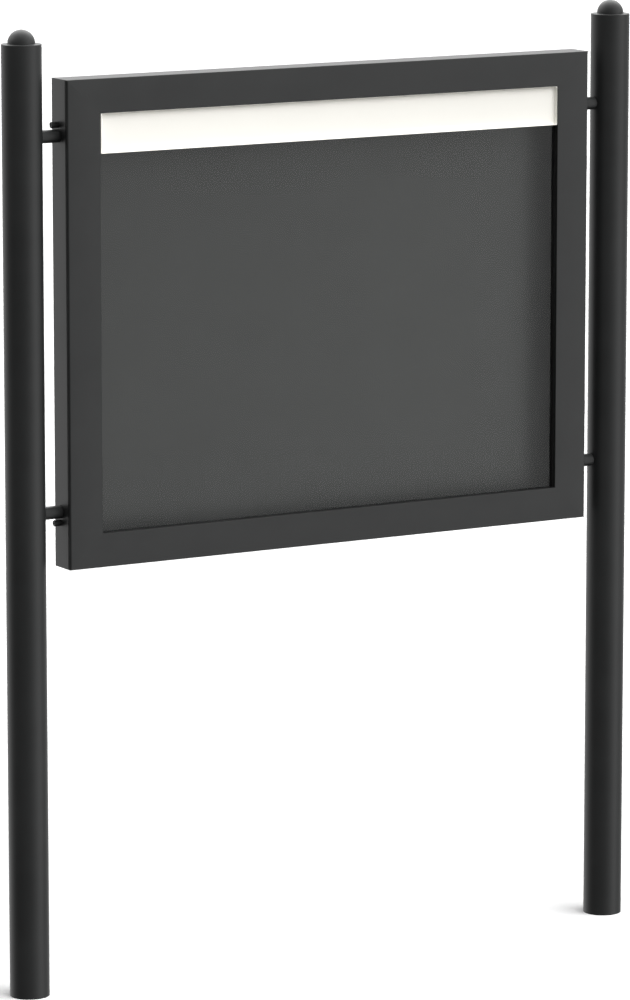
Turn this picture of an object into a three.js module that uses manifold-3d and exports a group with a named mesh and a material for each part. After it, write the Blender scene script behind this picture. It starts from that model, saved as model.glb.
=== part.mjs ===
// Lockable notice board on two round posts: a shallow glazed case with a side-hung door.
// Millimetres, +Z up, +X to the right seen from the front. The front faces -Y and the
// origin lies on the ground midway between the posts.

import * as THREE from 'three';
import { mergeVertices } from 'three/addons/utils/BufferGeometryUtils.js';
import Module from 'manifold-3d';

const wasm = await Module();
wasm.setup();

// Shared fits and counts
const fitGap = 0.3;
const cutOverrun = 1;
const postSides = 48;
const rodSides = 32;
const arcSteps = 6;
const domeSteps = 8;
const hexSides = 6;

// Posts and caps
const postDiameter = 76;
const postWall = 3;
const postHeight = 1815;
const capFlange = 3;
const capBevel = 0.4;
const capSpigotDepth = 20;
const capSpigotWall = 3;
const domeRadius = 26;
const domeNeck = 1;

// Case
const caseWidth = 1152;
const caseHeight = 926.5;
const caseToPost = 36;
const caseTopDrop = 65;
const caseDepth = 60;
const caseWall = 2;
const caseRim = 10;
const caseLedge = 16;
const ledgeSetback = 4;
const sheetThickness = 1.5;
const cornerAngleThickness = 3;
const cornerAngleWidth = 30;
const cornerAngleLeg = 60;
const cornerAngleSetback = 7;
const sealWidth = 4;
const sealDepth = 5;
const panelEdgePlay = 1;

// Door
const doorThickness = 6;
const doorSeam = 1;
const stileFace = 70.6;
const topRailFace = 64.8;
const bottomRailFace = 64.8;
const stileRounding = 5;
const railRounding = 0.6;
const doorSkin = 2;
const doorEdgeWall = 2.5;
const doorBackWall = 1.4;
const rebateBlockWidth = 10;
const rebateBlockDepth = 9;
const beadLegThickness = 2;
const beadLegDepth = 21;
const cornerKeyThickness = 2;
const cornerKeyLeg = 62;
const cornerKeyPlay = 2;

// Glass, its gasket and its beads
const glassThickness = 4;
const glassSetback = 11;
const glassBite = 8.4;
const gasketWeb = 0.9;
const gasketLip = 1.4;
const gasketShow = 0.6;
const gasketBackShow = 1;
const beadThickness = 4;

// Header panel
const headerHeight = 75.5;
const headerSheet = 1.5;
const headerEdgeGap = 0.9;
const headerLipSetback = 1;
const tapeThickness = 1;
const tapeWidth = 20;
const tapeEndInset = 20;
const tapeEdgeInset = 8;

// Spacers and their bolts
const spacerDiameter = 25;
const spacerInset = 107;
const boltDiameter = 10;
const boltHeadAcross = 16;
const boltHeadHeight = 6.4;
const boltGrip = 20;
const boltBoreExtra = 5;

// Locks
const lockInset = 86;
const barrelDiameter = 12;
const barrelThreadDiameter = 10;
const barrelReach = 14;
const barrelInside = 13;
const barrelStep = 2;
const coreHeadDiameter = 8;
const coreShaftDiameter = 6;
const coreRecess = 0.8;
const coreBeyondBarrel = 3;
const keySocketSides = 3;
const keySocketRadius = 2.6;
const keySocketDepth = 6;
const lockNutAcross = 17;
const lockNutThickness = 4;
const camThickness = 3;
const camReach = 26;
const camWidth = 10;
const camHubRadius = 7;
const camScrewDiameter = 4;
const camScrewHeadDiameter = 8;
const camScrewHeadHeight = 2.5;
const camScrewGrip = 6;

// Keepers on the door
const keeperSheet = 2;
const keeperWidth = 22;
const keeperOffset = 10;
const keeperFoot = 20;
const keeperCamPlay = 2;
const keeperArmPlay = 2;
const keeperSealPlay = 1.2;

// Hinges
const hingeInset = 220;
const hingeLength = 80;
const hingeLeaf = 2;
const knuckleDiameter = 8;
const hingePinDiameter = 4;
const hingePinHeadDiameter = 7;
const hingePinHeadHeight = 1.5;
const hingePinTail = 2;
const hingeAxisOut = 5;
const hingeAxisBack = 20;
const knuckleCount = 3;
const knuckleGap = 0.5;
const caseLeafReach = 30;
const leafNotchPlay = 0.8;

// Heights and planes that several pieces share. The case hangs from near the posts' tops.
const postRadius = postDiameter / 2;
const frontY = -postRadius;
const caseHalf = caseWidth / 2;
const postX = caseHalf + caseToPost + postRadius;
const caseTop = postHeight - caseTopDrop;
const caseBottom = caseTop - caseHeight;
const caseMiddle = caseBottom + caseHeight / 2;
const rimY = frontY + doorThickness + doorSeam;
const doorBackY = frontY + doorThickness;
const caseBackY = frontY + caseDepth;
const ledgeBackY = caseBackY - ledgeSetback;
const ledgeFrontY = ledgeBackY - caseWall;
const openingHalf = caseHalf - stileFace;
const openingTop = caseTop - topRailFace;
const openingBottom = caseBottom + bottomRailFace;
const openingHeight = openingTop - openingBottom;
const openingMiddle = (openingTop + openingBottom) / 2;

const paintedSteel = (name) =>
  new THREE.MeshStandardMaterial({ name, color: 0x2b2c2d, roughness: 0.38, metalness: 0.0 });
const zincSteel = (name) =>
  new THREE.MeshStandardMaterial({ name, color: 0xa8abad, roughness: 0.42, metalness: 0.9 });
const blackMetal = (name) =>
  new THREE.MeshStandardMaterial({ name, color: 0x1a1a1b, roughness: 0.35, metalness: 0.4 });
const blackRubber = (name) =>
  new THREE.MeshStandardMaterial({ name, color: 0x131313, roughness: 0.8, metalness: 0.0 });
const whitePaint = (name) =>
  new THREE.MeshStandardMaterial({ name, color: 0xf6f4ef, roughness: 0.45, metalness: 0.0 });
const clearGlass = (name) =>
  new THREE.MeshStandardMaterial({
    name, color: 0xe8f0ee, roughness: 0.03, metalness: 0.0, transparent: true, opacity: 0.3,
  });

// A named mesh, ready to be placed.
function piece(name, geometry, finish) {
  const mesh = new THREE.Mesh(geometry, finish(name));
  mesh.name = name;
  return mesh;
}

function toSolid(geometry) {
  const bare = geometry.clone();
  bare.deleteAttribute('normal');
  bare.deleteAttribute('uv');
  const merged = mergeVertices(bare);
  const vertProperties = new Float32Array(merged.attributes.position.array);
  const triVerts = new Uint32Array(merged.index.array);
  return new wasm.Manifold(new wasm.Mesh({ numProp: 3, vertProperties, triVerts }));
}

function toGeometry(solid) {
  const mesh = solid.getMesh();
  const geometry = new THREE.BufferGeometry();
  geometry.setAttribute('position', new THREE.BufferAttribute(new Float32Array(mesh.vertProperties), 3));
  geometry.setIndex(new THREE.BufferAttribute(new Uint32Array(mesh.triVerts), 1));
  geometry.computeVertexNormals();
  return geometry;
}

function join(...geometries) {
  return toGeometry(geometries.map(toSolid).reduce((whole, next) => whole.add(next)));
}

function cut(geometry, ...tools) {
  return toGeometry(tools.map(toSolid).reduce((rest, tool) => rest.subtract(tool), toSolid(geometry)));
}

// A box from its lowest corner to its highest one.
function block(low, high) {
  const size = high.map((value, axis) => value - low[axis]);
  const middle = high.map((value, axis) => (value + low[axis]) / 2);
  return new THREE.BoxGeometry(...size).translate(...middle);
}

// A round bar along X between two places on its axis.
function barAlongX(radius, fromX, toX) {
  const bar = new THREE.CylinderGeometry(radius, radius, toX - fromX, rodSides);
  return bar.rotateZ(Math.PI / 2).translate((fromX + toX) / 2, 0, 0);
}

// A round bar along Z between two heights.
function barAlongZ(radius, fromZ, toZ, sides) {
  const bar = new THREE.CylinderGeometry(radius, radius, toZ - fromZ, sides);
  return bar.rotateX(Math.PI / 2).translate(0, 0, (fromZ + toZ) / 2);
}

// A hexagonal prism along X, given its width across the flats.
function hexAlongX(acrossFlats, fromX, toX) {
  const radius = acrossFlats / 2 / Math.cos(Math.PI / hexSides);
  const prism = new THREE.CylinderGeometry(radius, radius, toX - fromX, hexSides);
  return prism.rotateZ(Math.PI / 2).translate((fromX + toX) / 2, 0, 0);
}

// A turned solid about X. Each point is [place along X, radius].
function turnedAlongX(points) {
  const profile = points.map(([along, radius]) => new THREE.Vector2(radius, along));
  profile.push(profile[0].clone());
  return new THREE.LatheGeometry(profile, rodSides).rotateZ(-Math.PI / 2);
}

// A turned solid about Z. Each point is [radius, height].
function turnedAlongZ(points, sides) {
  const profile = points.map(([radius, height]) => new THREE.Vector2(radius, height));
  profile.push(profile[0].clone());
  return new THREE.LatheGeometry(profile, sides).rotateX(Math.PI / 2);
}

// Posts: plain tubes, open at both ends, with a turned cap pressed into the top.
function postTube() {
  const inner = postRadius - postWall;
  const section = [[inner, 0], [postRadius, 0], [postRadius, postHeight], [inner, postHeight]];
  return turnedAlongZ(section, postSides);
}

function postCap() {
  const spigotOuter = postRadius - postWall - fitGap;
  const spigotInner = spigotOuter - capSpigotWall;
  const domeBase = capFlange + domeNeck;
  const outline = [
    [0, 0],
    [spigotInner, 0],
    [spigotInner, -capSpigotDepth],
    [spigotOuter, -capSpigotDepth],
    [spigotOuter, 0],
    [postRadius, 0],
    [postRadius, capFlange - capBevel],
    [postRadius - capBevel, capFlange],
    [domeRadius, capFlange],
  ];
  for (let step = 0; step < domeSteps; step += 1) {
    const angle = (step / domeSteps) * (Math.PI / 2);
    outline.push([domeRadius * Math.cos(angle), domeBase + domeRadius * Math.sin(angle)]);
  }
  outline.push([0, domeBase + domeRadius]);
  const profile = outline.map(([radius, height]) => new THREE.Vector2(radius, height));
  return new THREE.LatheGeometry(profile, postSides).rotateX(Math.PI / 2);
}

// Spacers: short bars from the posts to the case, hollowed to the post's curve and bored for a bolt.
// Their own frame has X pointing from the case wall to the post's axis.
function spacer() {
  const toPostAxis = postX - caseHalf;
  const bar = barAlongX(spacerDiameter / 2, fitGap, toPostAxis);
  const postCurve = barAlongZ(postRadius + fitGap, -spacerDiameter, spacerDiameter, postSides);
  postCurve.translate(toPostAxis, 0, 0);
  const bore = barAlongX(boltDiameter / 2 + fitGap, -cutOverrun, boltGrip + boltBoreExtra);
  return cut(bar, postCurve, bore);
}

function spacerBolt() {
  const headFace = -caseWall - fitGap;
  const head = hexAlongX(boltHeadAcross, headFace - boltHeadHeight, headFace);
  const shank = barAlongX(boltDiameter / 2, headFace - boltHeadHeight / 2, boltGrip);
  return join(head, shank);
}

// Frame members. A profile is drawn with x inward from the outer edge and y back from its front.
// The member runs along z about its middle. Sloped ends meet the next member at the mitre line.
function frameMember(profile, length, startSlope, endSlope) {
  const geometry = new THREE.ExtrudeGeometry(profile, {
    depth: length, bevelEnabled: false, steps: 1, curveSegments: arcSteps,
  });
  const position = geometry.attributes.position;
  for (let index = 0; index < position.count; index += 1) {
    const inward = position.getX(index);
    const atStart = position.getZ(index) < length / 2;
    const startZ = -length / 2 + inward * startSlope + fitGap / 2;
    const endZ = length / 2 - inward * endSlope - fitGap / 2;
    position.setZ(index, atStart ? startZ : endZ);
  }
  geometry.computeVertexNormals();
  return geometry;
}

// Turns of a member about Y that bring its outer edge to each side of the frame.
const turnToLeft = 0;
const turnToTop = Math.PI / 2;
const turnToRight = Math.PI;
const turnToBottom = -Math.PI / 2;

function caseProfile() {
  const depth = caseBackY - rimY;
  const ledgeFront = ledgeFrontY - rimY;
  const ledgeBack = ledgeBackY - rimY;
  const shape = new THREE.Shape();
  shape.moveTo(0, 0);
  shape.lineTo(caseRim, 0);
  shape.lineTo(caseRim, caseWall);
  shape.lineTo(caseWall, caseWall);
  shape.lineTo(caseWall, ledgeFront);
  shape.lineTo(caseLedge, ledgeFront);
  shape.lineTo(caseLedge, ledgeBack);
  shape.lineTo(caseWall, ledgeBack);
  shape.lineTo(caseWall, depth);
  shape.lineTo(0, depth);
  shape.closePath();
  return shape;
}

function doorProfile(face, rounding) {
  const rebate = face - rebateBlockWidth;
  const leg = rebate - beadLegThickness;
  const shape = new THREE.Shape();
  shape.moveTo(0, doorThickness);
  shape.lineTo(0, rounding);
  shape.absarc(rounding, rounding, rounding, Math.PI, Math.PI * 1.5, false);
  shape.lineTo(face, 0);
  shape.lineTo(face, rebateBlockDepth);
  shape.lineTo(rebate, rebateBlockDepth);
  shape.lineTo(rebate, beadLegDepth);
  shape.lineTo(leg, beadLegDepth);
  shape.lineTo(leg, doorThickness);
  shape.closePath();
  const chamber = new THREE.Path();
  chamber.moveTo(doorEdgeWall, doorSkin);
  chamber.lineTo(doorEdgeWall, doorThickness - doorBackWall);
  chamber.lineTo(face - doorEdgeWall, doorThickness - doorBackWall);
  chamber.lineTo(face - doorEdgeWall, doorSkin);
  chamber.closePath();
  shape.holes.push(chamber);
  return shape;
}

// Case sides in their own frame, where the profile's front is the rim and z is measured
// from mid-height. Holes and the hinge notches are cut before the side is turned into place.
function caseSide(cutters) {
  const side = frameMember(caseProfile(), caseHeight, 1, 1);
  return cutters.length > 0 ? cut(side, ...cutters) : side;
}

function wallHole(diameter, z) {
  const hole = barAlongX(diameter / 2 + fitGap, -cutOverrun, caseWall + cutOverrun);
  return hole.translate(0, -rimY, z);
}

const knuckleLength = (hingeLength - (knuckleCount - 1) * knuckleGap) / knuckleCount;

function leafNotch(z) {
  const halfLength = knuckleLength / 2 + leafNotchPlay;
  const deep = caseWall + fitGap;
  const inner = caseRim + cutOverrun;
  return block([-cutOverrun, -cutOverrun, z - halfLength], [inner, deep, z + halfLength]);
}

const spacerOffset = caseHeight / 2 - spacerInset;
const lockOffset = caseHeight / 2 - lockInset;
const hingeOffset = caseHeight / 2 - hingeInset;

function buildCaseFrame() {
  const group = new THREE.Group();
  const leftCutters = [];
  const rightCutters = [];
  for (const end of [-1, 1]) {
    leftCutters.push(wallHole(boltDiameter, end * spacerOffset));
    leftCutters.push(wallHole(barrelThreadDiameter, end * lockOffset));
    rightCutters.push(wallHole(boltDiameter, end * spacerOffset));
    rightCutters.push(leafNotch(end * hingeOffset));
  }
  const left = piece('case_side_left', caseSide(leftCutters), paintedSteel);
  left.position.set(-caseHalf, rimY, caseMiddle);
  const right = piece('case_side_right', caseSide(rightCutters), paintedSteel);
  right.position.set(caseHalf, rimY, caseMiddle);
  right.rotation.y = turnToRight;
  const top = piece('case_top', frameMember(caseProfile(), caseWidth, 1, 1), paintedSteel);
  top.position.set(0, rimY, caseTop);
  top.rotation.y = turnToTop;
  const bottom = piece('case_bottom', frameMember(caseProfile(), caseWidth, 1, 1), paintedSteel);
  bottom.position.set(0, rimY, caseBottom);
  bottom.rotation.y = turnToBottom;
  group.add(left, right, top, bottom);
  return group;
}

// Corner angles riveted inside the case, drawn for the corner with both legs going positive.
function cornerAngle() {
  const low = caseWall + fitGap;
  const inner = low + cornerAngleThickness;
  const far = low + cornerAngleLeg;
  const shape = new THREE.Shape();
  shape.moveTo(low, low);
  shape.lineTo(far, low);
  shape.lineTo(far, inner);
  shape.lineTo(inner, inner);
  shape.lineTo(inner, far);
  shape.lineTo(low, far);
  shape.closePath();
  return new THREE.ExtrudeGeometry(shape, { depth: cornerAngleWidth, bevelEnabled: false });
}

// The four corners, each with the turn that brings a first-corner piece there.
const corners = [
  { name: 'lower_left', x: -1, z: -1, turn: 0 },
  { name: 'lower_right', x: 1, z: -1, turn: Math.PI / 2 },
  { name: 'upper_right', x: 1, z: 1, turn: Math.PI },
  { name: 'upper_left', x: -1, z: 1, turn: -Math.PI / 2 },
];

function buildCornerAngles() {
  const group = new THREE.Group();
  for (const corner of corners) {
    const angle = piece(`case_corner_angle_${corner.name}`, cornerAngle(), zincSteel);
    const holder = new THREE.Group();
    holder.rotation.x = Math.PI / 2;
    angle.rotation.z = corner.turn;
    const backY = rimY + cornerAngleSetback + cornerAngleWidth;
    holder.position.set(corner.x * caseHalf, backY, corner.z * caseHeight / 2 + caseMiddle);
    holder.add(angle);
    group.add(holder);
  }
  return group;
}

function buildSheets() {
  const group = new THREE.Group();
  const backReach = caseWall + fitGap;
  const back = block(
    [-caseHalf + backReach, ledgeBackY + fitGap, caseBottom + backReach],
    [caseHalf - backReach, ledgeBackY + fitGap + sheetThickness, caseTop - backReach],
  );
  const panelReach = caseRim + panelEdgePlay;
  const panel = block(
    [-caseHalf + panelReach, ledgeFrontY - fitGap - sheetThickness, caseBottom + panelReach],
    [caseHalf - panelReach, ledgeFrontY - fitGap, caseTop - panelReach],
  );
  group.add(piece('back_sheet', back, zincSteel), piece('display_panel', panel, paintedSteel));
  return group;
}

// A flat ring that stands parallel to the front, between an outer and an inner outline.
function uprightRing(outerInset, innerInset, fromY, toY) {
  const outer = block(
    [-caseHalf + outerInset, fromY, caseBottom + outerInset],
    [caseHalf - outerInset, toY, caseTop - outerInset],
  );
  const inner = block(
    [-caseHalf + innerInset, fromY - cutOverrun, caseBottom + innerInset],
    [caseHalf - innerInset, toY + cutOverrun, caseTop - innerInset],
  );
  return cut(outer, inner);
}

function buildSeal() {
  const outerInset = caseRim + fitGap;
  const frontSide = doorBackY + fitGap;
  const ring = uprightRing(outerInset, outerInset + sealWidth, frontSide, frontSide + sealDepth);
  return piece('door_seal', ring, blackRubber);
}

// Door frame, mitred at corners where stiles and rails of unlike widths meet.
function buildDoorFrame() {
  const group = new THREE.Group();
  const topSlope = topRailFace / stileFace;
  const bottomSlope = bottomRailFace / stileFace;
  const profile = doorProfile(stileFace, stileRounding);
  const lockStile = frameMember(profile, caseHeight, bottomSlope, topSlope);
  const left = piece('door_stile_lock', lockStile, paintedSteel);
  left.position.set(-caseHalf, frontY, caseMiddle);
  const hingeStile = frameMember(profile, caseHeight, topSlope, bottomSlope);
  const right = piece('door_stile_hinge', hingeStile, paintedSteel);
  right.position.set(caseHalf, frontY, caseMiddle);
  right.rotation.y = turnToRight;
  const topProfile = doorProfile(topRailFace, railRounding);
  const topRail = frameMember(topProfile, caseWidth, 1 / topSlope, 1 / topSlope);
  const top = piece('door_rail_top', topRail, paintedSteel);
  top.position.set(0, frontY, caseTop);
  top.rotation.y = turnToTop;
  const lowProfile = doorProfile(bottomRailFace, railRounding);
  const lowRail = frameMember(lowProfile, caseWidth, 1 / bottomSlope, 1 / bottomSlope);
  const bottom = piece('door_rail_bottom', lowRail, paintedSteel);
  bottom.position.set(0, frontY, caseBottom);
  bottom.rotation.y = turnToBottom;
  group.add(left, right, top, bottom);
  return group;
}

// Flat corner keys inside the hollow stiles and rails.
function cornerKey(railFace) {
  const low = doorEdgeWall + cornerKeyPlay;
  const stileInner = stileFace - doorEdgeWall - cornerKeyPlay;
  const railInner = railFace - doorEdgeWall - cornerKeyPlay;
  const across = stileInner + cornerKeyLeg;
  const up = railInner + cornerKeyLeg;
  const shape = new THREE.Shape();
  shape.moveTo(low, low);
  shape.lineTo(across, low);
  shape.lineTo(across, railInner);
  shape.lineTo(stileInner, railInner);
  shape.lineTo(stileInner, up);
  shape.lineTo(low, up);
  shape.closePath();
  return new THREE.ExtrudeGeometry(shape, { depth: cornerKeyThickness, bevelEnabled: false });
}

function buildCornerKeys() {
  const group = new THREE.Group();
  const keyFrontY = frontY + doorSkin + fitGap;
  for (const corner of corners) {
    const key = cornerKey(corner.z > 0 ? topRailFace : bottomRailFace);
    key.rotateX(Math.PI / 2).translate(0, cornerKeyThickness, 0);
    const turned = mirrored(key, corner.x > 0, corner.z > 0);
    const mesh = piece(`door_corner_key_${corner.name}`, turned, zincSteel);
    mesh.position.set(corner.x * caseHalf, keyFrontY, caseMiddle + corner.z * caseHeight / 2);
    group.add(mesh);
  }
  return group;
}

// A copy mirrored in X, in Z or in both, with its faces still pointing out.
function mirrored(geometry, inX, inZ) {
  const copy = geometry.clone();
  copy.scale(inX ? -1 : 1, 1, inZ ? -1 : 1);
  if (inX !== inZ) {
    flipFaces(copy);
  }
  return copy;
}

function flipFaces(geometry) {
  const order = geometry.index ? geometry.index.array : null;
  if (order) {
    for (let corner = 0; corner < order.length; corner += 3) {
      [order[corner + 1], order[corner + 2]] = [order[corner + 2], order[corner + 1]];
    }
    return;
  }
  const points = geometry.attributes.position;
  for (let corner = 0; corner < points.count; corner += 3) {
    const second = new THREE.Vector3().fromBufferAttribute(points, corner + 1);
    const third = new THREE.Vector3().fromBufferAttribute(points, corner + 2);
    points.setXYZ(corner + 1, ...third);
    points.setXYZ(corner + 2, ...second);
  }
}

// A plate over the opening, larger than it by the reach on every side.
function openingPlate(reach, fromSetback, toSetback) {
  return block(
    [-openingHalf - reach, frontY + fromSetback, openingBottom - reach],
    [openingHalf + reach, frontY + toSetback, openingTop + reach],
  );
}

function buildGlazing() {
  const group = new THREE.Group();
  const glassBack = glassSetback + glassThickness;
  group.add(piece('glass_pane', openingPlate(glassBite, glassSetback, glassBack), clearGlass));
  const lipFront = glassSetback - fitGap - gasketLip;
  const lipBack = glassBack + fitGap + gasketLip;
  const channelReach = glassBite + fitGap;
  const gasket = cut(
    openingPlate(channelReach + gasketWeb, lipFront, lipBack),
    openingPlate(channelReach, glassSetback - fitGap, glassBack + fitGap),
    openingPlate(-gasketShow, lipFront - cutOverrun, glassBack),
    openingPlate(gasketBackShow, glassSetback, lipBack + cutOverrun),
  );
  group.add(piece('glazing_gasket', gasket, blackRubber));
  const beadFront = frontY + lipBack + fitGap;
  const beadBack = beadFront + beadThickness;
  const beadOuter = rebateBlockWidth - fitGap;
  const beadInner = gasketBackShow;
  const uprights = [['left', -1], ['right', 1]];
  for (const [side, sign] of uprights) {
    const near = sign * (openingHalf + beadInner);
    const far = sign * (openingHalf + beadOuter);
    const bead = block(
      [Math.min(near, far), beadFront, openingBottom - beadOuter],
      [Math.max(near, far), beadBack, openingTop + beadOuter],
    );
    group.add(piece(`glazing_bead_${side}`, bead, blackMetal));
  }
  const levels = [['bottom', openingBottom, -1], ['top', openingTop, 1]];
  for (const [side, edge, sign] of levels) {
    const near = edge + sign * beadInner;
    const far = edge + sign * beadOuter;
    const reach = openingHalf + beadInner - fitGap;
    const low = Math.min(near, far);
    const bead = block([-reach, beadFront, low], [reach, beadBack, low + beadOuter - beadInner]);
    group.add(piece(`glazing_bead_${side}`, bead, blackMetal));
  }
  return group;
}

// Header: a shallow tray across the top of the opening, taped to the glass, edges to the front.
function buildHeader() {
  const group = new THREE.Group();
  const half = openingHalf - headerEdgeGap;
  const top = openingTop - headerEdgeGap;
  const bottom = top - headerHeight;
  const trayFront = frontY + headerLipSetback;
  const trayBack = frontY + glassSetback - tapeThickness;
  const outside = block([-half, trayFront, bottom], [half, trayBack, top]);
  const hollow = block(
    [-half + headerSheet, trayFront - cutOverrun, bottom + headerSheet],
    [half - headerSheet, trayBack - headerSheet, top - headerSheet],
  );
  group.add(piece('header_panel', cut(outside, hollow), whitePaint));
  const tapeHalf = half - tapeEndInset;
  const tapeLevels = [['lower', bottom + tapeEdgeInset], ['upper', top - tapeEdgeInset - tapeWidth]];
  for (const [level, tapeBottom] of tapeLevels) {
    const strip = block(
      [-tapeHalf, trayBack, tapeBottom],
      [tapeHalf, frontY + glassSetback, tapeBottom + tapeWidth],
    );
    group.add(piece(`header_tape_${level}`, strip, blackRubber));
  }
  return group;
}

// Locks, in a frame with X going inward from the outer face of the case wall.
function lockBarrel() {
  const outer = barrelDiameter / 2;
  const thread = barrelThreadDiameter / 2;
  const headBore = coreHeadDiameter / 2 + fitGap;
  const shaftBore = coreShaftDiameter / 2 + fitGap;
  return turnedAlongX([
    [-barrelReach, headBore],
    [-barrelReach, outer],
    [-fitGap, outer],
    [-fitGap, thread],
    [barrelInside, thread],
    [barrelInside, shaftBore],
    [-barrelStep, shaftBore],
    [-barrelStep, headBore],
  ]);
}

function lockNut() {
  const from = caseWall + fitGap;
  const to = from + lockNutThickness;
  const bore = barAlongX(barrelThreadDiameter / 2 + fitGap, from - cutOverrun, to + cutOverrun);
  return cut(hexAlongX(lockNutAcross, from, to), bore);
}

const coreEnd = barrelInside + coreBeyondBarrel;
const camFrom = coreEnd + fitGap;
const camTo = camFrom + camThickness;

function lockCore() {
  const headFace = -barrelReach + coreRecess;
  const head = barAlongX(coreHeadDiameter / 2, headFace, -barrelStep - fitGap);
  const shaft = barAlongX(coreShaftDiameter / 2, -barrelStep - coreShaftDiameter, coreEnd);
  const socketLength = keySocketDepth + cutOverrun;
  const radius = keySocketRadius;
  const socket = new THREE.CylinderGeometry(radius, radius, socketLength, keySocketSides);
  socket.rotateZ(Math.PI / 2).translate(headFace + socketLength / 2 - cutOverrun, 0, 0);
  const boreEnd = coreEnd - camScrewGrip - fitGap;
  const screwBore = barAlongX(camScrewDiameter / 2 + fitGap, boreEnd, coreEnd + cutOverrun);
  return cut(join(head, shaft), socket, screwBore);
}

// The cam points to -Y when the lock is open.
function lockCam() {
  const shape = new THREE.Shape();
  const halfWidth = camWidth / 2;
  const neck = Math.sqrt(camHubRadius ** 2 - halfWidth ** 2);
  const hubAngle = Math.atan2(halfWidth, -neck);
  shape.absarc(0, 0, camHubRadius, -hubAngle, hubAngle, false);
  shape.lineTo(-camReach + halfWidth, halfWidth);
  shape.absarc(-camReach + halfWidth, 0, halfWidth, Math.PI / 2, Math.PI * 1.5, false);
  shape.closePath();
  const bore = new THREE.Path();
  bore.absarc(0, 0, camScrewDiameter / 2 + fitGap, 0, Math.PI * 2, true);
  shape.holes.push(bore);
  const plate = new THREE.ExtrudeGeometry(shape, {
    depth: camThickness, bevelEnabled: false, curveSegments: rodSides / 2,
  });
  const drawnPlane = new THREE.Matrix4().makeBasis(
    new THREE.Vector3(0, 1, 0), new THREE.Vector3(0, 0, 1), new THREE.Vector3(1, 0, 0),
  );
  return plate.applyMatrix4(drawnPlane).translate(camFrom, 0, 0);
}

function camScrew() {
  const headFrom = camTo + fitGap;
  return turnedAlongX([
    [coreEnd - camScrewGrip, 0],
    [coreEnd - camScrewGrip, camScrewDiameter / 2],
    [headFrom, camScrewDiameter / 2],
    [headFrom, camScrewHeadDiameter / 2],
    [headFrom + camScrewHeadHeight, camScrewHeadDiameter / 2],
    [headFrom + camScrewHeadHeight, 0],
  ]);
}

function buildLock(level, z) {
  const group = new THREE.Group();
  group.position.set(-caseHalf, 0, z);
  group.add(
    piece(`lock_barrel_${level}`, lockBarrel(), blackMetal),
    piece(`lock_nut_${level}`, lockNut(), zincSteel),
    piece(`lock_core_${level}`, lockCore(), blackMetal),
    piece(`lock_cam_${level}`, lockCam(), zincSteel),
    piece(`lock_cam_screw_${level}`, camScrew(), zincSteel),
  );
  return group;
}

// Keeper: a hooked bracket behind the door's lock stile. Its lip lies behind the turned cam.
function buildKeeper(level, lockZ, towardEdge) {
  const lipLeft = -caseHalf + caseRim + fitGap + sealWidth + keeperSealPlay;
  const armLeft = -caseHalf + camTo + fitGap + camScrewHeadHeight + keeperArmPlay;
  const armRight = armLeft + keeperSheet;
  const footFront = doorBackY + fitGap;
  const lipFront = camWidth / 2 + keeperCamPlay;
  const lipBack = lipFront + keeperSheet;
  const near = lockZ + towardEdge * keeperOffset;
  const far = near + towardEdge * keeperWidth;
  const low = Math.min(near, far);
  const high = Math.max(near, far);
  const bracket = join(
    block([armLeft, footFront, low], [armLeft + keeperFoot, footFront + keeperSheet, high]),
    block([armLeft, footFront, low], [armRight, lipBack, high]),
    block([lipLeft, lipFront, low], [armRight, lipBack, high]),
  );
  return piece(`door_keeper_${level}`, bracket, zincSteel);
}

// Hinges, in a frame on the hinge axis at mid-length. Knuckles share one pin.
const wallFromAxis = -hingeAxisOut + fitGap;
const middleHalf = knuckleLength / 2;

function knuckle(fromZ, toZ) {
  return barAlongZ(knuckleDiameter / 2, fromZ, toZ, rodSides);
}

function pinBore() {
  return barAlongZ(hingePinDiameter / 2 + fitGap, -hingeLength, hingeLength, rodSides);
}

function caseLeaf() {
  const half = hingeLength / 2;
  const gapTop = middleHalf + knuckleGap;
  const leafRight = wallFromAxis + hingeLeaf;
  const clearOfKnuckle = knuckleDiameter / 2 + leafNotchPlay;
  const leafBack = caseLeafReach;
  const whole = join(
    block([wallFromAxis, clearOfKnuckle, -half], [leafRight, leafBack, half]),
    block([wallFromAxis, 0, gapTop], [leafRight, leafBack, half]),
    block([wallFromAxis, 0, -half], [leafRight, leafBack, -gapTop]),
    knuckle(gapTop, half),
    knuckle(-half, -gapTop),
  );
  return cut(whole, pinBore());
}

function doorLeaf() {
  const leafRight = wallFromAxis + hingeLeaf;
  const footFront = doorThickness - hingeAxisBack + fitGap;
  const footBack = footFront + hingeLeaf;
  const footInner = -hingeAxisOut - caseRim + leafNotchPlay;
  const whole = join(
    block([footInner, footFront, -middleHalf], [leafRight, footBack, middleHalf]),
    block([wallFromAxis, footFront, -middleHalf], [leafRight, 0, middleHalf]),
    knuckle(-middleHalf, middleHalf),
  );
  return cut(whole, pinBore());
}

function hingePin() {
  const half = hingeLength / 2;
  const headFrom = half + fitGap;
  return join(
    barAlongZ(hingePinDiameter / 2, -half - hingePinTail, headFrom + hingePinHeadHeight, rodSides),
    barAlongZ(hingePinHeadDiameter / 2, headFrom, headFrom + hingePinHeadHeight, rodSides),
  );
}

function buildHinge(level, z) {
  const group = new THREE.Group();
  group.position.set(caseHalf + hingeAxisOut, frontY + hingeAxisBack, z);
  group.add(
    piece(`hinge_case_leaf_${level}`, caseLeaf(), paintedSteel),
    piece(`hinge_door_leaf_${level}`, doorLeaf(), paintedSteel),
    piece(`hinge_pin_${level}`, hingePin(), zincSteel),
  );
  return group;
}

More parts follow.
